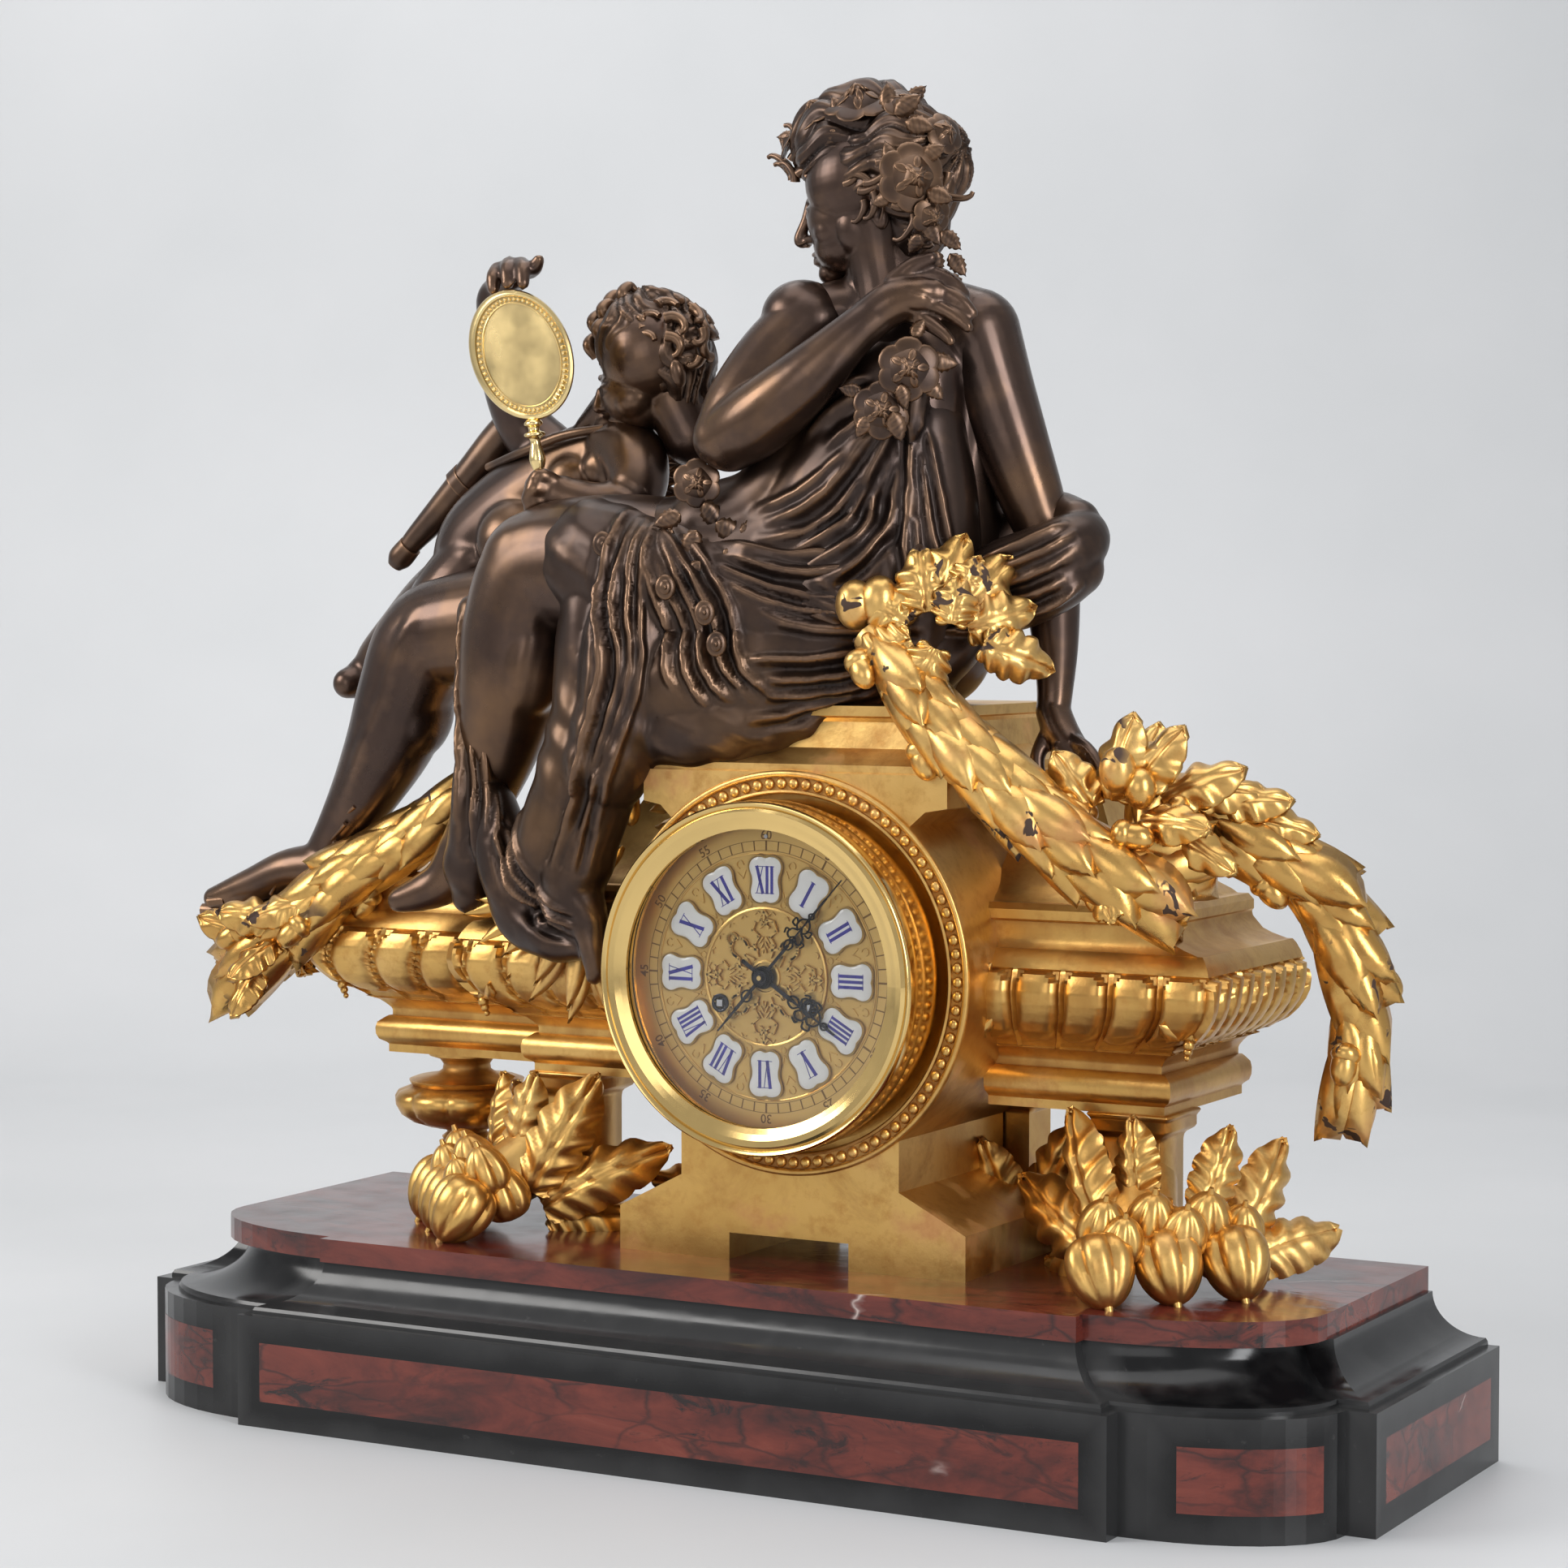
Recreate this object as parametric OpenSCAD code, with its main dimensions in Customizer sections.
// Figural mantel clock on a break-front marble base, with a round movement.
// Millimetres, +Z up, the dial faces -Y, origin on the floor under the base.

/* [Base] */
// Width of the black plinth
base_w = 700; // [560:5:860]
// Depth of the black plinth
base_d = 240.2; // [200:1:300]
// Height of the black plinth
plinth_h = 57.6; // [45:0.2:72]
// Height of the black cavetto moulding
mould_h = 25; // [18:0.5:32]
// Thickness of the red marble top
top_h = 12.2; // [9:0.1:16]
// Depth of the red inlays set in the plinth
inlay_t = 4; // [2:0.5:6]

/* [Case] */
// Offset of the case centre from the base centre
case_x = 34.2; // [0:0.2:40]
// Height of the clock block above the marble
case_h = 246.2; // [205:0.2:300]
// Distance from the case centre to the bottom corner of a wing
wing_x = 182; // [165:1:200]
// Depth of the clock block
case_d = 148.4; // [125:0.2:178]
// Half width of the block's foot
foot_half = 98.5; // [85:0.5:118]

/* [Dial] */
// Radius of the dial that shows inside the bezel
dial_r = 73; // [61:0.5:76]
// Angle of the minute hand from twelve
minute_angle = 42; // [0:1:359]
// Angle of the hour hand from twelve
hour_angle = 123.5; // [0:0.5:359.5]
// Running clearance of pins and arbors in their holes
run_gap = 0.05; // [0.02:0.01:0.09]

/* [Movement] */
// Radius of the movement plates
plate_r = 52; // [47:0.5:56]
// Space between the movement plates
plate_gap = 36; // [30:0.5:42]
// Length of the pendulum from its pivot to the bob centre
pendulum_l = 112; // [95:1:125]

/* [Figures] */
// Height of the seated figure above the lid
figure_h = 318; // [265:1:382]

/* [Hidden] */
$fn = 96;

half_w = base_w / 2;
front = base_d / 2;
base_top = plinth_h + mould_h + top_h;
ks = case_h / 246.2;
panel_half = half_w * 0.701;
end_back = front * 0.461;
block_front = -front + 83.7;
block_back = block_front + case_d;
foot_back = block_front + case_d * 0.79;
dial_z = base_top + case_h * 0.594;
block_top = base_top + case_h;
lid_top = block_top + 33;
bezel_r = dial_r + 14.3;
drum_r = dial_r + 28;
bore_r = dial_r - 5;
dial_y = block_front - 21.6;
door_back = block_front - 17.6;
door_front = block_front - 37.6;
hinge_x = -bezel_r - 3.4;
hinge_y = door_back - 0.2;
knuckle_r = 3;
pin_r = 1.2;
plate_t = 2.2;
front_plate_y = block_front - 4;
back_plate_y = front_plate_y + plate_t + plate_gap;
wind_x = 25.5;
wind_z = -14;
wind_dist = norm([wind_x, wind_z]);
pinion_n = 10;
great_n = 80;
train_m = 2 * wind_dist / (pinion_n + great_n);
cannon_n = 12;
minute_n = 36;
motion_m = 0.5;
mid_n = 8;
hour_n = 32;
hour_m = 0.6;
motion_dist = (cannon_n + minute_n) * motion_m / 2;
arbor_r = 2.2;
pipe_r = 3.2;
fk_s = figure_h / 318;
rear_r = bore_r + 6;
pend_y = back_plate_y + plate_t + 9;
bell_y = pend_y + 14;

bronze = [0.2, 0.13, 0.1];
gilt = [0.83, 0.62, 0.25];
brass = [0.86, 0.7, 0.35];
black_stone = [0.06, 0.06, 0.06];
red_stone = [0.42, 0.12, 0.1];

// quarter-ellipse corner of the break-front plan, from the end to the front
function corner_pts(a, w, d, e, n = 10) =
  [for (i = [0:n]) [a + (w - a) * cos(90 * i / n), -e - (d - e) * sin(90 * i / n)]];
function flip_pts(p) = [for (i = [len(p) - 1:-1:0]) [-p[i][0], p[i][1]]];
// plan of one slab: w half width, a front panel half width, d front, e end return
function plan_pts(w, a, d, e, s, t, b) =
  let (c = corner_pts(a, w - s, d - t, e))
  concat([[w, b], [w, -e]], c, [[a, -d], [-a, -d]], flip_pts(c), [[-w, -e], [-w, b]]);

module slab(w, a, d, e, s, t, b, h) {
  linear_extrude(h) polygon(plan_pts(w, a, d, e, s, t, b));
}

// local x is right, y is up and z comes forward from the dial centre
module at_dial(y, x = 0, z = 0) {
  translate([case_x + x, y, dial_z + z]) rotate([90, 0, 0]) children();
}

module disc(r, y0, y1, x = 0, z = 0) {
  at_dial(y1, x, z) cylinder(r = r, h = y1 - y0);
}

module ring(r_out, r_in, y0, y1, x = 0, z = 0) {
  at_dial(y1, x, z) difference() {
    cylinder(r = r_out, h = y1 - y0);
    translate([0, 0, -1]) cylinder(r = r_in, h = y1 - y0 + 2);
  }
}

function gear_pts(n, m) = [for (i = [0:n - 1], k = [0:3])
  let (p = 360 / n, a = i * p + [-0.22, -0.09, 0.09, 0.22][k] * p,
       r = n * m / 2 + (k == 1 || k == 2 ? 0.85 * m : -1.1 * m))
  [r * cos(a), r * sin(a)]];

module gear(n, m, h, turn = 0) {
  rotate([0, 0, turn]) linear_extrude(h) polygon(gear_pts(n, m));
}

// ---------- marble base ----------
module inlay_pockets(g) {
  front_bar(g);
  corner_bars(g);
  end_bars(g);
}
function inlay_z() = plinth_h * 0.235;
function inlay_h() = plinth_h * 0.53;

module front_bar(g) {
  translate([-panel_half + 14 - g, -front, inlay_z() - g])
    cube([2 * (panel_half - 14 + g), inlay_t + g, inlay_h() + 2 * g]);
}

module corner_bars(g) {
  outer = corner_pts(panel_half, half_w - 14.7, front - 12.4, end_back, 20);
  inner = corner_pts(panel_half, half_w - 14.7 - inlay_t, front - 12.4 - inlay_t, end_back, 20);
  pick = concat([for (i = [4:16]) outer[i]], [for (i = [16:-1:4]) inner[i]]);
  for (s = [0, 1]) mirror([s, 0, 0]) translate([0, 0, inlay_z() - g])
    linear_extrude(inlay_h() + 2 * g) polygon(pick);
}

module end_bars(g) {
  for (s = [0, 1]) mirror([s, 0, 0])
    translate([half_w - inlay_t - g, -end_back + 13 - g, inlay_z() - g])
      cube([inlay_t + g, end_back + front - 26 + 2 * g, inlay_h() + 2 * g]);
}

module plinth() {
  color(black_stone) difference() {
    slab(half_w, panel_half, front, end_back, 14.7, 12.4, front, plinth_h);
    inlay_pockets(0);
  }
}
module front_inlay() { color(red_stone) front_bar(0); }
module corner_inlays() { color(red_stone) corner_bars(0); }
module end_inlays() { color(red_stone) end_bars(0); }

module cavetto_slab() {
  steps = 8;
  fillet = mould_h * 0.2;
  rise = (mould_h - fillet) / steps;
  color(black_stone) translate([0, 0, plinth_h]) {
    slab(half_w - 6, panel_half, front - 6, end_back, 14.7, 12.4, front, fillet);
    for (i = [0:steps - 1]) {
      u = 1 - pow(1 - (i + 0.5) / steps, 2.2);
      slip = 4 + front * 0.23 * u;
      translate([0, 0, fillet + i * rise]) slab(half_w - 4 - half_w * 0.088 * u,
        panel_half - 30 * u, front - slip, end_back - front * 0.24 * u, 14.7 * (1 - u),
        12.4 - 4 * u, front - 3 * u, rise);
    }
  }
}

module marble_top() {
  color(red_stone) translate([0, 0, plinth_h + mould_h])
    slab(half_w * 0.898, half_w * 0.616, front - 31.4, front * 0.203, 0, 8, front - 3.8, top_h);
}

// ---------- gilt wood case ----------
module block_outline() {
  neck = foot_half - 36.5;
  z0 = -case_h * 0.594;
  z1 = case_h * 0.406;
  circle(r = drum_r);
  polygon([[-foot_half, z0], [foot_half, z0], [foot_half, z0 + 22.4 * ks],
    [neck, z0 + 41 * ks], [neck, z0 + 60 * ks], [neck, z1 - 30 * ks], [neck + 14, z1 - 18 * ks],
    [neck + 26, z1 - 16 * ks], [neck + 26, z1], [-neck - 22, z1], [-neck - 22, z1 - 16 * ks],
    [-neck - 12, z1 - 18 * ks], [-neck, z1 - 30 * ks], [-neck, z0 + 60 * ks],
    [-neck, z0 + 41 * ks], [-foot_half, z0 + 22.4 * ks]]);
}

module block_solid() {
  at_dial(foot_back) linear_extrude(foot_back - block_front) block_outline();
  at_dial(block_back) linear_extrude(block_back - foot_back + 1) intersection() {
    block_outline();
    translate([-drum_r, -case_h * 0.266]) square([2 * drum_r, case_h * 0.68]);
  }
}

module clock_block() {
  color(gilt) difference() {
    block_solid();
    disc(bore_r, block_front - 1, block_back + 1);
    disc(bezel_r + 3, block_front - 1, block_front + 12);
    translate([case_x - 34, block_front - 1, base_top - 1]) cube([68, foot_back - block_front + 2, 14.5]);
    translate([case_x - 42, back_plate_y, base_top + 34 * ks])
      cube([84, block_back - back_plate_y - 12, dial_z - base_top - 34 * ks]);
    bead_ring_solid(0);
    disc(rear_r + 0.3, block_back - 4, block_back + 1);
  }
}

// one moulded box whose front and outer end follow rings of [end outset, front outset, height]
module moulded(x_in, x_out, y_front, y_back, rings) {
  dir = x_out > x_in ? 1 : -1;
  n = len(rings);
  pts = [for (r = rings) each [[x_in, y_front - r[1], r[2]], [x_out + dir * r[0], y_front - r[1], r[2]],
    [x_out + dir * r[0], y_back, r[2]], [x_in, y_back, r[2]]]];
  sides = [for (i = [0:n - 2], k = [0:3]) let (a = 4 * i + k, b = 4 * i + (k + 1) % 4)
    dir > 0 ? [a, a + 4, b + 4, b] : [b, b + 4, a + 4, a]];
  low = dir > 0 ? [0, 1, 2, 3] : [3, 2, 1, 0];
  high = dir > 0 ? [4 * n - 1, 4 * n - 2, 4 * n - 3, 4 * n - 4]
    : [4 * n - 4, 4 * n - 3, 4 * n - 2, 4 * n - 1];
  polyhedron(points = pts, faces = concat([low], sides, [high]), convexity = 6);
}

function wing_rings(top) = [for (r = concat([[0, 0, 80.8], [0, 0, 85.2], [1, 1, 86.2], [4, 4, 89.7],
  [5, 5, 93.7], [4, 4, 97.7], [1, 1, 101.2], [-2, -1, 101.21], [-2, -1, 104.2], [-1, 0, 106.2],
  [3, 4, 110.2], [9, 9, 113.2], [10, 10, 114.2], [22, 19, 121.2], [31, 25, 131.2],
  [34, 28, 141.2], [33, 25, 151.2], [29, 20, 159.2], [27, 18, 161.2], [24, 17, 161.21],
  [16, 15, 163.7], [8, 14, 169.2], [5, 14, 174.2], [6, 17, 175.2], [6, 17, 180.2],
  [3, 14, 183.2]], top)) [r[0], r[1], base_top + r[2] * ks]];
shoulder = [[-3, 9, 183.21], [-6, 6, 185.2], [-19, -6, 191.2], [-33, -20, 203.2],
  [-45, -32, 221.2], [-53, -40, 239.2], [-55, -42, 246.2]];

module wing_right() {
  color(gilt) difference() {
    moulded(case_x, case_x + wing_x, block_front + 48.4, block_back, wing_rings(shoulder));
    wing_core();
  }
}

module wing_core() {
  block_solid();
  translate([case_x - 42, foot_back - 2, base_top]) cube([84, case_d, case_h + 1]);
}

module wing_left() {
  color(gilt) difference() {
    union() {
      moulded(case_x, case_x - wing_x, block_front + 48.4, block_back, wing_rings(shoulder));
      moulded(case_x - wing_x, case_x - wing_x - 118, block_front + 81, block_back,
        wing_rings([]));
    }
    wing_core();
  }
}

module block_lid() {
  lid_rings = [[0, 0, 0], [0, 0, 4], [-4, -4, 7], [-10, -10, 12], [-12, -12, 25],
    [-11, -11, 27], [-8, -8, 28], [-8, -8, 33]];
  rings = [for (r = lid_rings) [r[0], r[1], block_top + r[2]]];
  color(gilt) {
    moulded(case_x, case_x + 86, block_front + 3, block_back, rings);
    moulded(case_x + 0.01, case_x - 82, block_front + 3, block_back, rings);
  }
}

module pendant_boss() {
  top = base_top + 80.8 * ks;
  k = 52 * ks;
  color(gilt) translate([case_x - wing_x - 80, block_front + 102, top]) rotate_extrude()
    polygon([[0, 0], [22, 0], [24, -0.05 * k], [19, -0.12 * k], [19, -0.26 * k], [24, -0.34 * k],
      [38, -0.44 * k], [41, -0.56 * k], [40, -0.7 * k], [33, -0.8 * k], [20, -0.88 * k],
      [14, -0.94 * k], [9, -k], [0, -k]]);
}

// a square post, a scroll and a paw of fruits that spreads towards the front corner
module front_foot(dir) {
  x = case_x + dir * (wing_x - 19);
  y = block_front + 67.4;
  top = base_top + 80.8 * ks;
  h = 80.8 * ks;
  color(gilt) {
    translate([x - 20, y - 19, top - 8]) cube([40, 38, 8]);
    translate([x - 17, y - 17, top - 0.55 * h]) cube([34, 34, 0.55 * h - 8]);
    hull() {
      translate([x - 16, y - 16, top - 0.55 * h]) cube([32, 32, 1]);
      translate([x + dir * 18, y - 30, base_top + 20]) sphere(r = 14, $fn = 24);
    }
    for (b = [[18, -91, 17], [42, -66, 17], [66, -41, 17], [26, -62, 17], [42, -44, 17]])
      translate([x + dir * b[0], y + b[1], base_top + b[2]]) sphere(r = b[2], $fn = 32);
    hull() {
      translate([x + dir * 18, y - 30, base_top + 20]) sphere(r = 14, $fn = 24);
      translate([x + dir * 36, y - 58, base_top + 18]) sphere(r = 15, $fn = 24);
    }
    for (s = [-1, 1]) hull() {
      translate([x + dir * (10 + 8 * s), y - 16 + 8 * s, base_top + 30]) sphere(r = 8, $fn = 20);
      translate([x + dir * 30 * s, y - 8 + 26 * s, base_top + 0.76 * h]) sphere(r = 5, $fn = 20);
    }
  }
}
module foot_front_right() { front_foot(1); }
module foot_front_left() { front_foot(-1); }

module rear_foot(dir) {
  x = case_x + dir * 63;
  y = block_back - 16;
  top = base_top + 80.8 * ks;
  h = 80.8 * ks;
  low = case_h * 0.328;
  color(gilt) {
    translate([x - 15, y - 13, base_top + 0.3 * h]) cube([30, 26, 0.7 * h - 1 + top - base_top - low]);
    hull() {
      translate([x - 14, y - 12, base_top + 0.3 * h]) cube([28, 24, 1]);
      translate([x + dir * 26, y, base_top + 16]) sphere(r = 13, $fn = 24);
    }
    for (b = [[24, 2, 16], [42, 1, 14.5]])
      hull() translate([x + dir * b[0], y - b[1], base_top + b[2]]) sphere(r = b[2], $fn = 28);
    hull() {
      translate([x + dir * 14, y - 4, base_top + 26]) sphere(r = 6, $fn = 20);
      translate([x + dir * 46, y - 8, base_top + 0.62 * h]) sphere(r = 5, $fn = 20);
    }
  }
}
module foot_rear_right() { rear_foot(1); }
module foot_rear_left() { rear_foot(-1); }

module bead_ring_solid(lift) {
  ring(drum_r - 3.4, drum_r - 9.6, block_front - lift, block_front + 3);
  at_dial(block_front) rotate_extrude() translate([drum_r - 6.5, 0]) circle(r = 2.7);
}
module bead_ring() { color(gilt) bead_ring_solid(0.4); }

module bead_chain(pts, fn = 14) {
  for (i = [0:len(pts) - 2]) hull() {
    translate([pts[i][0], pts[i][1], pts[i][2]]) sphere(r = pts[i][3], $fn = fn);
    translate([pts[i + 1][0], pts[i + 1][1], pts[i + 1][2]]) sphere(r = pts[i + 1][3], $fn = fn);
  }
}
function on_case(p) = [for (q = p) [case_x + q[0], block_front + q[1], base_top + q[2] * ks, q[3]]];

module garland_right() {
  color(gilt) bead_chain(on_case([[38, 10, 322, 14], [56, 9, 300, 17], [89, 8, 267, 19],
    [136, 11, 226, 20], [172, 18, 200, 20], [174, 34, 214, 18], [174, 46, 230, 15]]));
}

module garland_tail() {
  color(gilt) bead_chain(on_case([[182, 62, 228, 14], [206, 74, 222, 17], [232, 84, 205, 19],
    [252, 92, 176, 19], [260, 96, 140, 18], [258, 96, 110, 14], [258, 96, 100, 8]]));
}

module garland_left() {
  color(gilt) bead_chain(on_case([[-240, 74, 226, 15], [-272, 62, 206, 19], [-304, 52, 184, 20],
    [-336, 48, 160, 22], [-356, 50, 140, 19], [-362, 52, 126, 12]]));
}

module olive_sprays() {
  color(gilt) for (p = [[[-190, 36, 150, 9], [-206, 26, 118, 4]], [[-160, 28, 150, 9], [-164, 16, 112, 4]],
      [[-132, 22, 158, 9], [-124, 12, 120, 4]], [[-228, 50, 168, 9], [-246, 40, 142, 4]],
      [[-110, 16, 200, 11], [-92, 10, 214, 6]]])
    bead_chain(on_case(p));
}

// ---------- bezel, dial and hands ----------
module knuckles(z_list, len_z) {
  for (z = z_list) translate([case_x + hinge_x, hinge_y, dial_z + z]) {
    difference() {
      union() {
        cylinder(r = knuckle_r, h = len_z);
        children();
      }
      translate([0, 0, -1]) cylinder(r = pin_r + run_gap, h = len_z + 2);
    }
  }
}

module bezel_ring() {
  color(brass) difference() {
    union() {
      ring(bezel_r - 1, dial_r - 2, door_back + 0.3, block_front + 12);
      ring(dial_r + 5, dial_r - 1.5, door_back - 2, door_back + 2);
      ring(dial_r, bore_r - 3, block_front + 9, block_front + 12);
      knuckles([-11, 6], 5) translate([0, 0.6, 0]) cube([9, 2.4, 5]);
    }
    translate([case_x + hinge_x - 4, hinge_y - 4, dial_z - 6]) cube([12, 8, 12]);
    translate([case_x + hinge_x, hinge_y, dial_z - 12]) cylinder(r = pin_r + run_gap, h = 24);
  }
}

module bezel_hinge_pin() {
  color(brass) translate([case_x + hinge_x, hinge_y, dial_z - 12]) {
    cylinder(r = pin_r, h = 24);
    translate([0, 0, -1]) cylinder(r = pin_r + 0.6, h = 1);
    translate([0, 0, 24]) cylinder(r = pin_r + 0.6, h = 1);
  }
}

module bezel_door() {
  color(brass) difference() {
    union() {
      at_dial(door_back) rotate_extrude() polygon([[dial_r + 5.4, 0], [bezel_r, 0], [bezel_r, 4],
        [bezel_r - 1, 8], [bezel_r - 1, 14], [bezel_r - 2.4, 18], [bezel_r - 5, 20],
        [bezel_r - 8, 19.4], [bezel_r - 11, 18], [dial_r + 0.5, 17], [dial_r + 0.5, 12],
        [dial_r + 3, 10], [dial_r + 5.4, 7]]);
      translate([case_x + hinge_x, hinge_y, dial_z - 5.7]) {
        cylinder(r = knuckle_r, h = 11.4);
        translate([0, -3, 0]) cube([8, 2.7, 11.4]);
      }
    }
    translate([case_x + hinge_x, hinge_y, dial_z - 7]) cylinder(r = pin_r + run_gap, h = 14);
    for (z = [-11.4, 5.7]) translate([case_x + hinge_x - 4, hinge_y - 3.4, dial_z + z])
      cube([7.4, 7, 5.7]);
    disc(dial_r + 2.6, door_back - 15, door_back - 13);
  }
}

module bezel_glass() {
  color([0.85, 0.9, 0.92, 0.3]) disc(dial_r + 2.6, door_back - 15, door_back - 13);
}

module dial_holes(y0, y1) {
  disc(pipe_r + 1.2, y0, y1);
  for (s = [-1, 1]) disc(3.4, y0, y1, s * wind_x, wind_z);
}

module dial_plate() {
  color(gilt) difference() {
    disc(dial_r + 2.6, dial_y, dial_y + 2);
    dial_holes(dial_y - 1, dial_y + 3);
    disc(1 + run_gap, dial_y - 1, dial_y + 3, 0, dial_r * 0.95);
  }
}

module dial_centre() {
  color(gilt) difference() {
    disc(dial_r * 0.47, dial_y - 0.8, dial_y);
    dial_holes(dial_y - 2, dial_y + 1);
  }
}

module hour_plaques() {
  color([0.95, 0.95, 0.93]) for (i = [0:11]) {
    a = 90 - 30 * i;
    r = dial_r * 0.66;
    at_dial(dial_y, r * cos(a), r * sin(a)) linear_extrude(0.9) union() {
      square([14, 12], center = true);
      for (s = [-1, 1]) translate([0, s * 6]) scale([1.15, 0.55]) circle(r = 6, $fn = 40);
    }
  }
}

module hand_shape(reach, tail, w, ring_at, ring_r) {
  polygon([[-w / 2, 0], [-w * 0.9, -tail], [w * 0.9, -tail], [w / 2, 0], [w * 0.35, reach - 6],
    [0, reach], [-w * 0.35, reach - 6]]);
  for (s = [-1, 1]) translate([s * ring_r * 0.9, ring_at]) difference() {
    circle(r = ring_r, $fn = 32);
    circle(r = ring_r - 0.9, $fn = 32);
  }
  translate([0, ring_at + ring_r * 1.5]) difference() {
    circle(r = ring_r, $fn = 32);
    circle(r = ring_r - 0.9, $fn = 32);
  }
  circle(r = 5.4);
}

module minute_hand() {
  color([0.08, 0.08, 0.1]) at_dial(dial_y - 4.6) rotate([0, 0, -minute_angle])
    linear_extrude(0.8) difference() {
      hand_shape(dial_r * 0.91, dial_r * 0.4, 1.8, dial_r * 0.6, 3);
      circle(r = arbor_r);
    }
}

module hour_hand() {
  color([0.08, 0.08, 0.1]) at_dial(dial_y - 2.6) rotate([0, 0, -hour_angle])
    linear_extrude(0.9) difference() {
      hand_shape(dial_r * 0.65, dial_r * 0.12, 2, dial_r * 0.38, 3.2);
      circle(r = pipe_r);
    }
}

module hand_nut() {
  color([0.1, 0.1, 0.12]) {
    ring(3.6, 1.2, dial_y - 6.6, dial_y - 5.4);
    ring(2.4, 1.2, dial_y - 7.6, dial_y - 6.6);
  }
}

module centre_arbor() {
  color(brass) {
    disc(1.2, dial_y - 7.6, dial_y - 5.4);
    disc(arbor_r, dial_y - 5.4, back_plate_y + plate_t);
    at_dial(front_plate_y - 4.2) gear(cannon_n, motion_m, 3);
    at_dial(front_plate_y + plate_t + 8)
      gear(pinion_n, train_m, 5, atan2(wind_z, -wind_x) + 180 / pinion_n);
    at_dial(back_plate_y - 4) gear(64, 0.55, 1.6);
  }
}

module hour_wheel() {
  color(brass) difference() {
    union() {
      disc(pipe_r, dial_y - 3.5, front_plate_y - 8);
      at_dial(front_plate_y - 8) gear(hour_n, hour_m, 1.6, 360 / hour_n / 2);
    }
    disc(arbor_r + run_gap, dial_y - 6, front_plate_y - 5);
  }
}

module minute_wheel() {
  color(brass) difference() {
    union() {
      at_dial(front_plate_y - 4.8, 0, -motion_dist) gear(minute_n, motion_m, 1.8, 90 + 180 / minute_n);
      at_dial(front_plate_y - 6.6, 0, -motion_dist) gear(mid_n, hour_m, 3.2, 90);
    }
    disc(0.9 + run_gap, front_plate_y - 12, front_plate_y, 0, -motion_dist);
  }
}

// ---------- movement ----------
module arbor_bores(y0, y1) {
  disc(arbor_r + run_gap, y0, y1);
  for (s = [-1, 1]) disc(2.6 + run_gap, y0, y1, s * wind_x, wind_z);
}

module front_plate() {
  color(brass) {
    difference() {
      disc(plate_r, front_plate_y, front_plate_y + plate_t);
      arbor_bores(front_plate_y - 1, front_plate_y + plate_t + 1);
    }
    disc(0.9, front_plate_y - 11, front_plate_y, 0, -motion_dist);
    for (a = [20, 160, 270]) disc(2, dial_y + 2, front_plate_y, (plate_r - 4) * cos(a), (plate_r - 4) * sin(a));
  }
}

module back_plate() {
  color(brass) difference() {
    disc(plate_r, back_plate_y, back_plate_y + plate_t);
    arbor_bores(back_plate_y - 1, back_plate_y + plate_t + 1);
    disc(1.4 + run_gap, back_plate_y - 1, back_plate_y + plate_t + 1, plate_r - 7, 0);
  }
}

module plate_pillars() {
  color(brass) for (a = [35, 90, 145, 270])
    disc(3, front_plate_y + plate_t, back_plate_y, (plate_r - 6) * cos(a), (plate_r - 6) * sin(a));
}

module barrel(x, gear_y, turn) {
  y0 = front_plate_y + plate_t;
  color(brass) difference() {
    union() {
      at_dial(gear_y, x, wind_z) gear(great_n, train_m, 2, turn);
      disc(wind_x - 4, y0 + 8, back_plate_y - 10, x, wind_z);
      disc(wind_x - 6, y0 + 4.5, back_plate_y - 6, x, wind_z);
    }
    disc(2.6 + run_gap, y0, back_plate_y, x, wind_z);
  }
}
module going_barrel() {
  barrel(-wind_x, front_plate_y + plate_t + 6.5, atan2(-wind_z, wind_x));
}
module strike_barrel() { barrel(wind_x, back_plate_y - 7, 0); }

module winding_arbor(x) {
  color([0.5, 0.5, 0.52]) {
    disc(2.6, front_plate_y - 0.5, back_plate_y + plate_t + 2, x, wind_z);
    disc(2.4, dial_y + 4, front_plate_y - 0.5, x, wind_z);
    at_dial(dial_y + 4, x, wind_z) translate([-1.6, -1.6, 0]) cube([3.2, 3.2, 6]);
  }
}
module going_arbor() { winding_arbor(-wind_x); }
module strike_arbor() { winding_arbor(wind_x); }

module regulator_arbor() {
  color([0.4, 0.4, 0.42]) disc(1, dial_y - 0.6, dial_y + 8, 0, dial_r * 0.95);
}

module pendulum_cock() {
  color(brass) {
    at_dial(back_plate_y + plate_t + 14) translate([-7, plate_r - 14, 0]) cube([14, 8, 14]);
    for (y = [pend_y - 2.4, pend_y + 4.4]) difference() {
      at_dial(y) translate([-3, plate_r - 20, 0]) cube([6, 7, 2]);
      disc(0.9 + run_gap, y - 3, y + 1, 0, plate_r - 17.4);
    }
  }
}

module pendulum() {
  top = plate_r - 14;
  color(brass) {
    disc(0.9, pend_y - 4.4, pend_y + 4.4, 0, top - 3.4);
    disc(2, pend_y - 1.6, pend_y + 1.6, 0, top - 3.4);
    at_dial(pend_y + 0.8) translate([-1.2, top - 3.4 - pendulum_l, 0])
      cube([2.4, pendulum_l, 1.6]);
    disc(17, pend_y - 4, pend_y + 4, 0, top - 3.4 - pendulum_l);
  }
}

module bell() {
  color([0.8, 0.72, 0.45]) at_dial(bell_y + 26) rotate_extrude()
    polygon([[2, 0], [30, 0.5], [36, 4], [38, 10], [40, 24], [38.4, 24], [36.2, 10],
      [34.4, 5.6], [29.4, 2.6], [2, 2.2]]);
}

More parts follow.
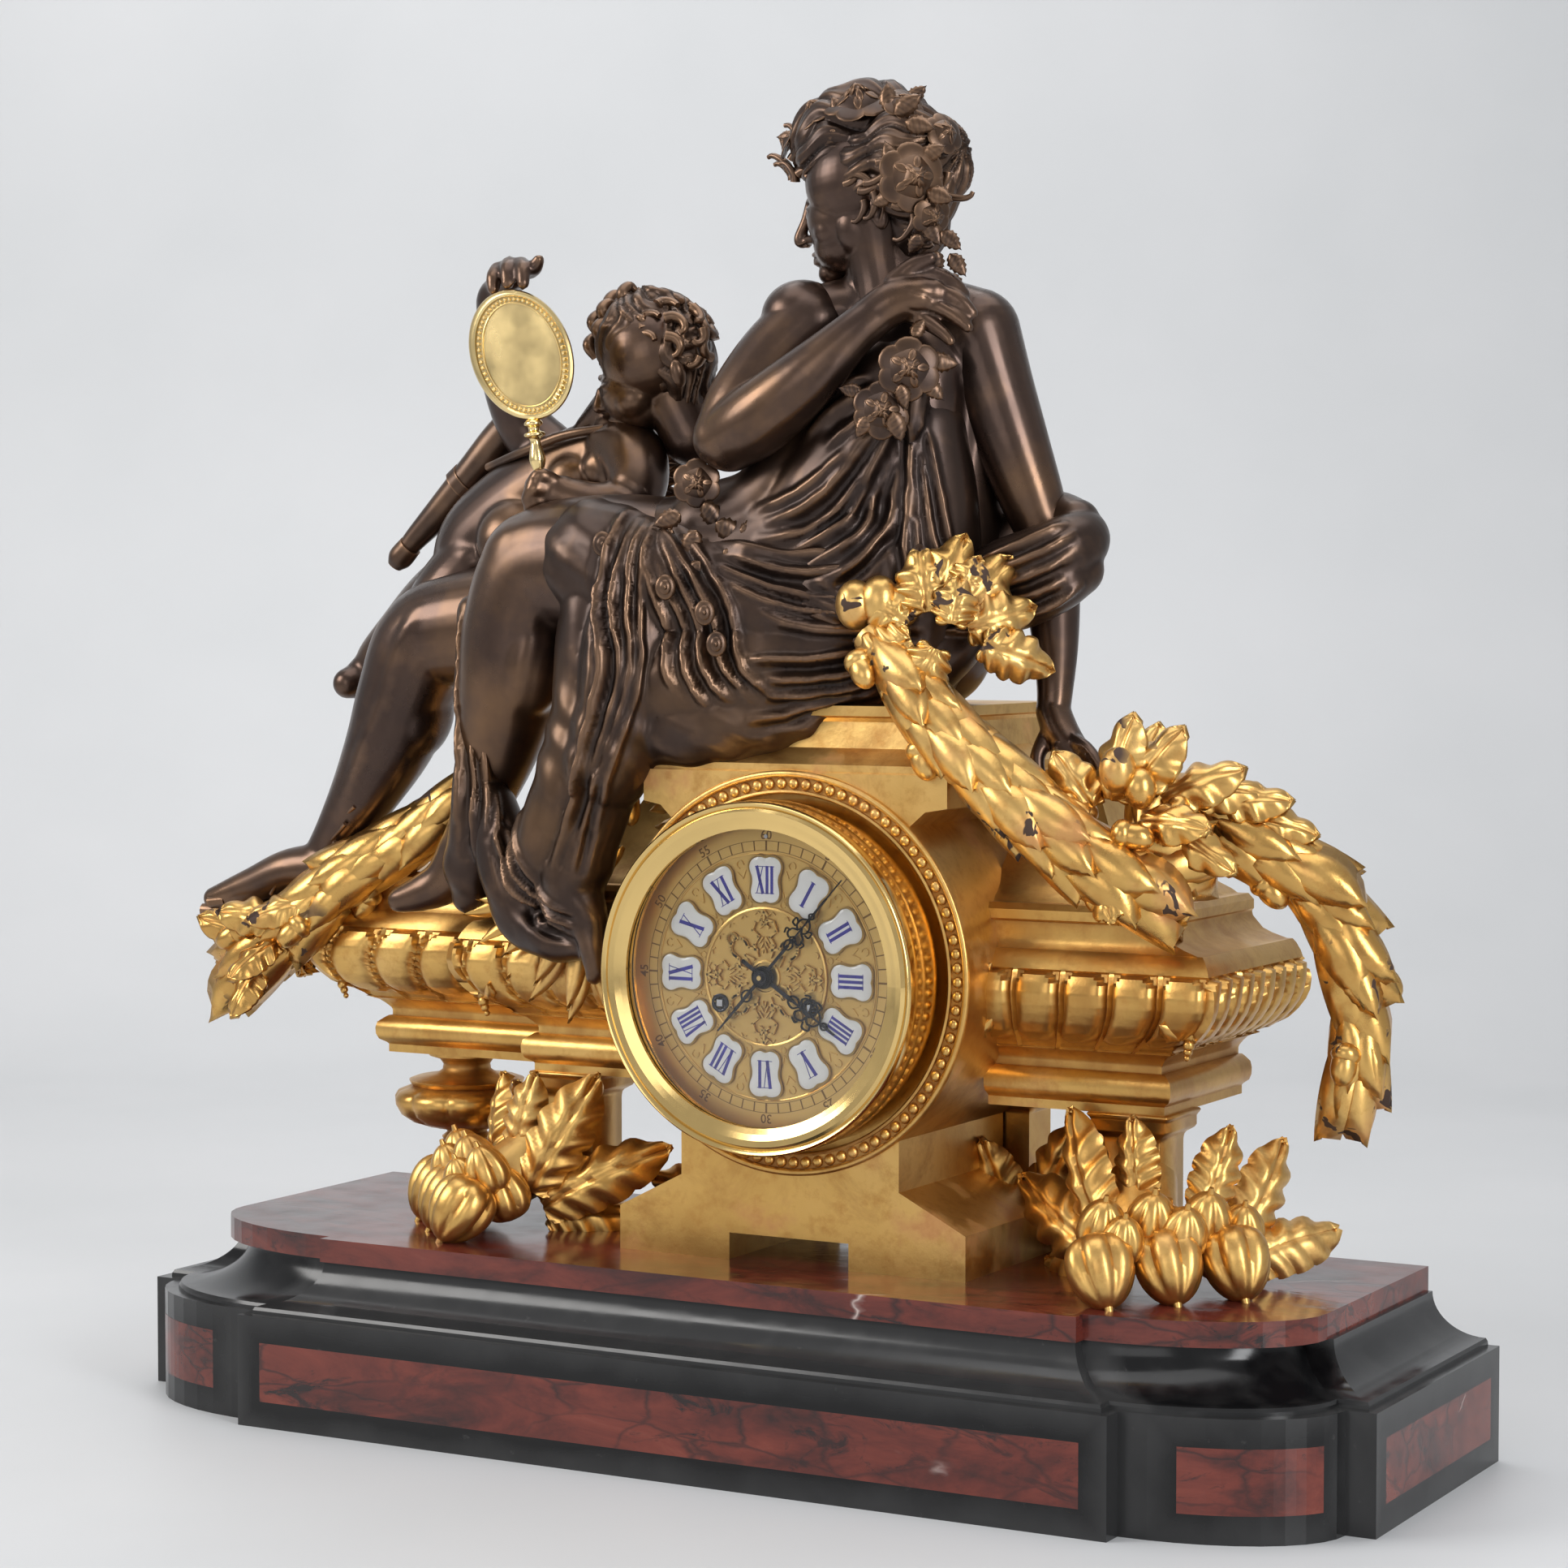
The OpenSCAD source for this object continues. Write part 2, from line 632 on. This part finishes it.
module bell_stand() {
  color([0.45, 0.45, 0.47]) {
    disc(2, bell_y + 20, bell_y + 30);
    at_dial(bell_y + 20) translate([-3, -3, 0]) cube([18, 6, 2.5]);
    disc(2.5, back_plate_y + plate_t, bell_y + 19, 12, 0);
  }
}

module hammer() {
  x = plate_r - 7;
  color([0.45, 0.45, 0.47]) {
    disc(1.4, back_plate_y - 3, back_plate_y + plate_t + 8, x, 0);
    at_dial(back_plate_y + plate_t + 8, x, 0) rotate([0, 0, 17]) translate([-1.4, -1.4, 0])
      cube([2.8, 28, 2]);
    disc(4, back_plate_y + plate_t + 6, bell_y + 12, x - 7.8, 25.8);
  }
}

module case_straps() {
  color(brass) for (s = [-1, 1])
    at_dial(block_back - 4) translate([s * (bore_r - 2) - 1, -6, 0])
      cube([2, 12, block_back - 4 - block_front - 12]);
}

module rear_ring() {
  color(brass) {
    ring(rear_r, bore_r - 8, block_back - 4, block_back);
    translate([case_x - rear_r - 4, block_back + 3.4, dial_z]) {
      for (z = [-11, 6]) translate([0, 0, z]) difference() {
        union() {
          cylinder(r = knuckle_r, h = 5);
          translate([0, -3.4, 0]) cube([5.5, 2, 5]);
        }
        translate([0, 0, -1]) cylinder(r = pin_r + run_gap, h = 7);
      }
    }
  }
}

module rear_hinge_pin() {
  color(brass) translate([case_x - rear_r - 4, block_back + 3.4, dial_z - 12]) {
    cylinder(r = pin_r, h = 24);
    translate([0, 0, 24]) cylinder(r = pin_r + 0.6, h = 1);
    translate([0, 0, -1]) cylinder(r = pin_r + 0.6, h = 1);
  }
}

module rear_door() {
  hx = -rear_r - 4;
  color(brass) difference() {
    union() {
      disc(rear_r - 2, block_back + 0.4, block_back + 2.4);
      translate([case_x + hx, block_back + 3.4, dial_z - 5.7]) cylinder(r = knuckle_r, h = 11.4);
      translate([case_x + hx, block_back + 0.4, dial_z - 5.7]) cube([10, 2, 11.4]);
      disc(5, block_back + 2.4, block_back + 8, rear_r * 0.8, 0);
    }
    translate([case_x + hx, block_back + 3.4, dial_z - 7]) cylinder(r = pin_r + run_gap, h = 14);
  }
}

// ---------- bronze figures ----------
function on_lid(p) = [for (q = p) [case_x + q[0] * fk_s, block_front + 40 + q[1] * fk_s,
  lid_top + q[2] * fk_s, q[3] * fk_s]];
module limb(p) { color(bronze) bead_chain(on_lid(p), 18); }

module woman_torso() {
  limb([[24, 30, 38, 38], [18, 30, 84, 32], [12, 28, 112, 27], [14, 26, 150, 31], [18, 24, 176, 28]]);
  limb([[-22, 10, 196, 19], [18, 26, 190, 24], [58, 42, 184, 20]]);
  limb([[12, 24, 200, 16], [10, 20, 236, 14]]);
}
module woman_head() {
  limb([[0, 18, 250, 26], [6, 22, 272, 32], [14, 28, 284, 33]]);
  limb([[14, 28, 276, 33], [44, 40, 262, 25], [50, 42, 226, 15]]);
}
module woman_arm_raised() {
  limb([[-32, 2, 196, 16], [-60, -18, 132, 16], [-22, -14, 160, 14], [26, -6, 196, 10],
    [56, 6, 200, 11]]);
}
module woman_arm_propped() {
  limb([[68, 44, 182, 20], [100, 52, 86, 17], [104, 52, 8, 10], [118, 46, -22, 9],
    [138, 32, -42, 6]]);
}
module woman_leg_near() {
  limb([[6, 12, 42, 34], [-60, -4, 62, 33], [-150, -18, 60, 28], [-190, -8, -20, 26],
    [-218, 6, -78, 15], [-232, -2, -96, 10], [-252, -12, -102, 8]]);
}
module woman_leg_far() {
  limb([[0, 44, 34, 32], [-150, 42, 36, 30], [-264, 30, 22, 27], [-296, 26, -30, 24],
    [-322, 18, -84, 13], [-356, 8, -98, 12], [-386, 2, -106, 9]]);
}
module woman_drapery() {
  limb([[58, 44, 24, 27], [18, -4, 20, 27], [-60, -22, 20, 27], [-124, -36, -20, 24],
    [-150, -36, -90, 20], [-132, -34, -134, 16], [-110, -34, -146, 9]]);
  limb([[-124, -36, -20, 24], [-176, -32, -60, 20], [-186, -30, -122, 15]]);
  limb([[104, 40, 96, 21], [126, 46, 66, 20], [96, 36, 50, 14]]);
}
module putto_body() {
  limb([[-134, 62, 184, 33], [-122, 66, 190, 31]]);
  limb([[-150, 60, 142, 22], [-196, 56, 118, 27], [-228, 56, 90, 30], [-222, 60, 52, 28],
    [-240, 66, 10, 20], [-262, 66, -38, 13], [-268, 60, -60, 10]]);
  limb([[-136, 44, 132, 16], [-128, 24, 104, 13], [-176, 14, 104, 10]]);
  limb([[-196, 58, 138, 16], [-216, 50, 190, 12], [-204, 20, 226, 11]]);
  limb([[-128, 84, 130, 10], [-84, 96, 118, 16], [-92, 96, 82, 14]]);
}
module putto_quiver() {
  limb([[-218, 92, 140, 8], [-300, 84, 70, 6]]);
}
module hand_mirror() {
  c = on_lid([[-194, 0, 180, 1]])[0];
  color(gilt) translate([c[0], c[1], c[2]]) rotate([90, 10, 0]) {
    scale([0.82, 1, 1]) cylinder(r = 35 * fk_s, h = 4);
    translate([0, -32 * fk_s, 2]) rotate([90, 0, 0]) cylinder(r1 = 4, r2 = 3, h = 37 * fk_s);
  }
}

plinth();
front_inlay();
corner_inlays();
end_inlays();
cavetto_slab();
marble_top();
clock_block();
block_lid();
wing_right();
wing_left();
pendant_boss();
foot_front_right();
foot_front_left();
foot_rear_right();
foot_rear_left();
bead_ring();
garland_right();
garland_tail();
garland_left();
olive_sprays();
bezel_ring();
bezel_hinge_pin();
bezel_door();
bezel_glass();
dial_plate();
dial_centre();
hour_plaques();
minute_hand();
hand_nut();
centre_arbor();
hour_hand();
hour_wheel();
minute_wheel();
front_plate();
back_plate();
plate_pillars();
going_barrel();
strike_barrel();
going_arbor();
strike_arbor();
regulator_arbor();
pendulum_cock();
pendulum();
bell();
bell_stand();
hammer();
case_straps();
rear_ring();
rear_hinge_pin();
rear_door();
woman_torso();
woman_head();
woman_arm_raised();
woman_arm_propped();
woman_leg_near();
woman_leg_far();
woman_drapery();
putto_body();
putto_quiver();
hand_mirror();
